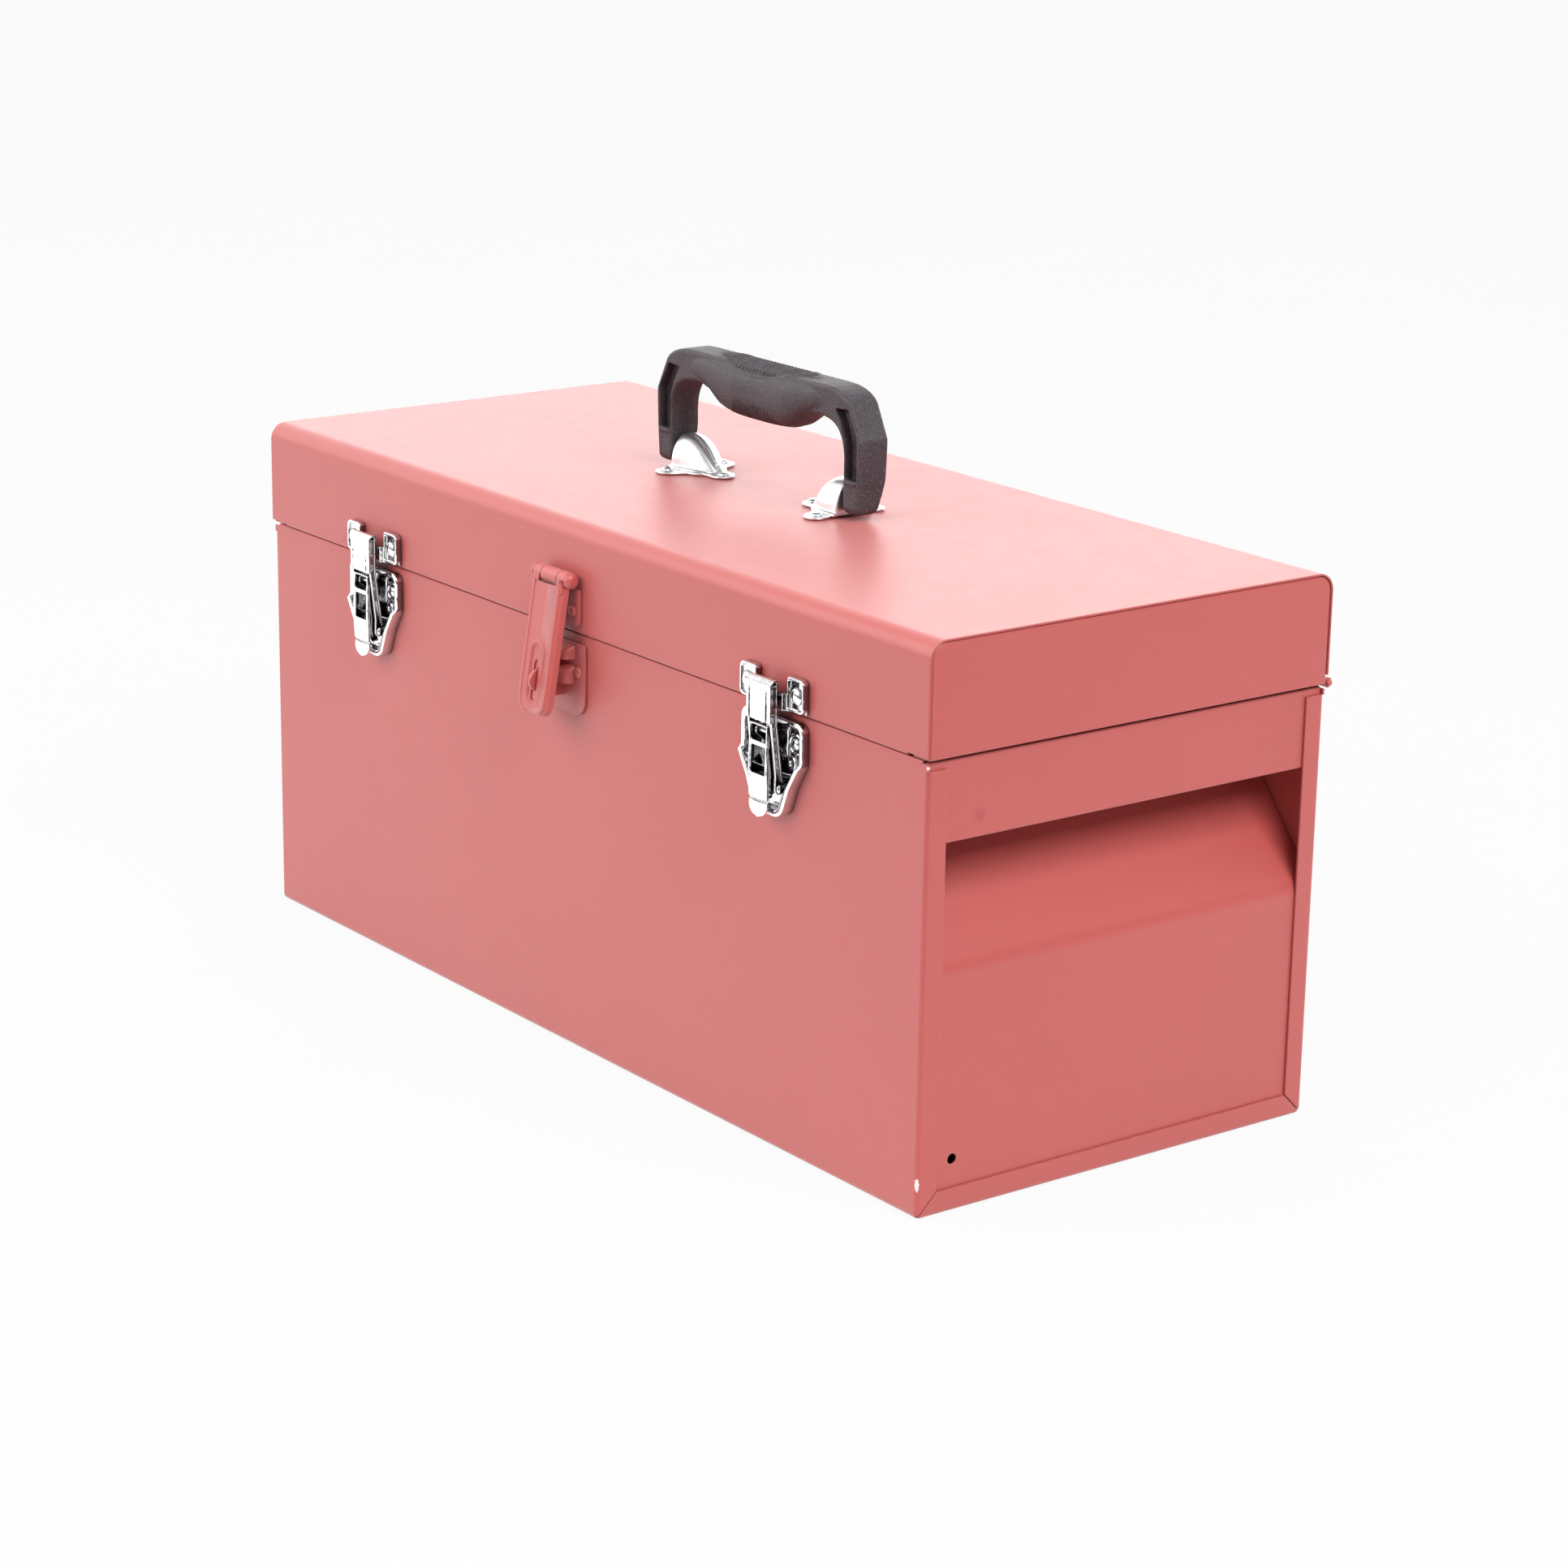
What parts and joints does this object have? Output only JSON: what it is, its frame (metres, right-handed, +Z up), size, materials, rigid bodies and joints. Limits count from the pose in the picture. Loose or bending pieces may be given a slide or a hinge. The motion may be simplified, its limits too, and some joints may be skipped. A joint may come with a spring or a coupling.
{
  "type": "carpenter toolbox",
  "caption": "Steel carpenter toolbox with hinged lid, draw latches, padlock hasp, folding handle, end carrying pockets and a lift-out tray.",
  "frame": {"origin": "centre of the footprint, on the floor", "axes": "+X along the length to the right seen from the front, +Y to the back, +Z up"},
  "size_m": [0.508, 0.2374, 0.299],
  "materials": {
    "red_paint": "satin powder coat",
    "chrome": "bright plated",
    "steel": "zinc plated",
    "grip_plastic": "fine moulded grain"
  },
  "bodies": {
    "box": {"body_shell": "red_paint", "end_panel_left": "red_paint", "end_panel_right": "red_paint", "end_band_left": "red_paint", "end_band_right": "red_paint", "hinge_leaf_body": "red_paint", "hinge_pin": "steel", "hasp_staple_plate": "red_paint", "hasp_staple_rivet_1": "red_paint", "hasp_staple_rivet_2": "red_paint", "latch_base_left": "chrome", "latch_base_left_rivet_1": "chrome", "latch_base_left_rivet_2": "chrome", "latch_pivot_left": "chrome", "latch_base_right": "chrome", "latch_base_right_rivet_1": "chrome", "latch_base_right_rivet_2": "chrome", "latch_pivot_right": "chrome"},
    "lid": {"lid_skin": "red_paint", "lid_end_cap_left": "red_paint", "lid_end_cap_right": "red_paint", "hinge_leaf_lid": "red_paint", "hasp_leaf": "red_paint", "hasp_leaf_rivet_1": "red_paint", "hasp_leaf_rivet_2": "red_paint", "hasp_pin": "red_paint", "latch_keeper_left": "chrome", "latch_keeper_left_rivet_1": "chrome", "latch_keeper_left_rivet_2": "chrome", "handle_bracket_left": "chrome", "handle_bracket_left_rivet_1": "chrome", "handle_bracket_left_rivet_2": "chrome", "handle_bracket_left_rivet_3": "chrome", "latch_keeper_right": "chrome", "latch_keeper_right_rivet_1": "chrome", "latch_keeper_right_rivet_2": "chrome", "handle_bracket_right": "chrome", "handle_bracket_right_rivet_1": "chrome", "handle_bracket_right_rivet_2": "chrome", "handle_bracket_right_rivet_3": "chrome"},
    "handle": {"handle_grip": "grip_plastic", "handle_pin_left": "steel", "handle_pin_right": "steel"},
    "lever_left": {"latch_lever_left": "chrome", "latch_hook_pin_left": "chrome"},
    "lever_right": {"latch_lever_right": "chrome", "latch_hook_pin_right": "chrome"},
    "hook_left": {"latch_hook_left": "chrome"},
    "hook_right": {"latch_hook_right": "chrome"},
    "hasp_strap": {"hasp_strap": "red_paint"},
    "tray": {"tray_pan": "red_paint", "tray_divider": "red_paint", "tray_rivet_1": "steel", "tray_rivet_2": "steel"}
  },
  "joints": [
    {"name": "lid_hinge", "type": "hinge", "parent": "box", "child": "lid", "pos_m": [0, 0.1096, 0.1926], "axis": [-1, 0, 0], "range_deg": [0, 105]},
    {"name": "handle_fold", "type": "hinge", "parent": "lid", "child": "handle", "pos_m": [0, 0.0025, 0.2505], "axis": [1, 0, 0], "range_deg": [-80, 80]},
    {"name": "hasp_swing", "type": "hinge", "parent": "lid", "child": "hasp_strap", "pos_m": [0, -0.1128, 0.217], "axis": [-1, 0, 0], "range_deg": [-5, 160]},
    {"name": "latch_lever_left_swing", "type": "hinge", "parent": "box", "child": "lever_left", "pos_m": [-0.156, -0.1136, 0.1835], "axis": [-1, 0, 0], "range_deg": [0, 150]},
    {"name": "latch_hook_left_swing", "type": "hinge", "parent": "lever_left", "child": "hook_left", "pos_m": [-0.156, -0.1122, 0.1605], "axis": [-1, 0, 0], "range_deg": [-155, 5]},
    {"name": "latch_lever_right_swing", "type": "hinge", "parent": "box", "child": "lever_right", "pos_m": [0.156, -0.1136, 0.1835], "axis": [-1, 0, 0], "range_deg": [0, 150]},
    {"name": "latch_hook_right_swing", "type": "hinge", "parent": "lever_right", "child": "hook_right", "pos_m": [0.156, -0.1122, 0.1605], "axis": [-1, 0, 0], "range_deg": [-155, 5]},
    {"name": "tray_lift", "type": "slide", "parent": "box", "child": "tray", "axis": [0, 0, 1], "range_m": [0, 0.03]}
  ],
  "couplings": [
    {"joint": "latch_hook_left_swing", "follows": "latch_lever_left_swing", "ratio": -1},
    {"joint": "latch_hook_right_swing", "follows": "latch_lever_right_swing", "ratio": -1}
  ]
}
